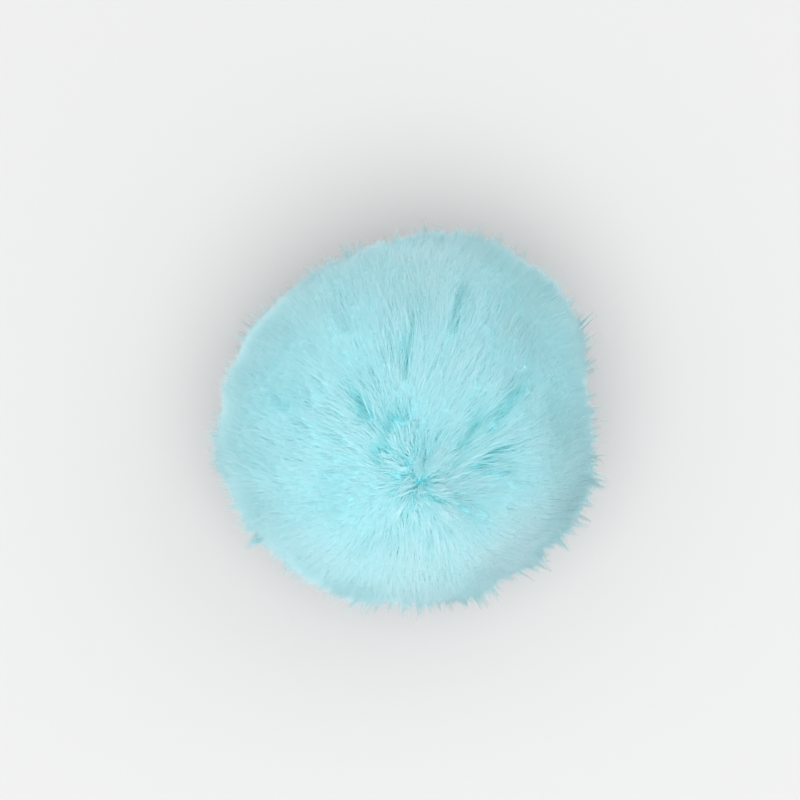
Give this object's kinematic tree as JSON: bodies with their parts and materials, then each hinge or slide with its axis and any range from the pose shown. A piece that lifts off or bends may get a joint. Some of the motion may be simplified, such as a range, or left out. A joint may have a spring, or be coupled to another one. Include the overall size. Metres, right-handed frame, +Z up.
{
  "type": "fur pom pom",
  "caption": "Round fluffy ball of fur locks on a gathered pelt, used as a trim, charm or tassel end, resting on a small flat spot.",
  "frame": {"origin": "on the surface that the ball rests on, under the middle of its box", "axes": "+Z up, away from the surface; -Y towards the side where the crown of the fur leans, +X to the right of it"},
  "size_m": [0.0806, 0.0782, 0.0737],
  "materials": {
    "fur": "dense soft matt fur, pale turquoise, paler at the tips and deeper at the roots"
  },
  "bodies": {
    "root": {"pom_pom": "fur"}
  },
  "joints": []
}
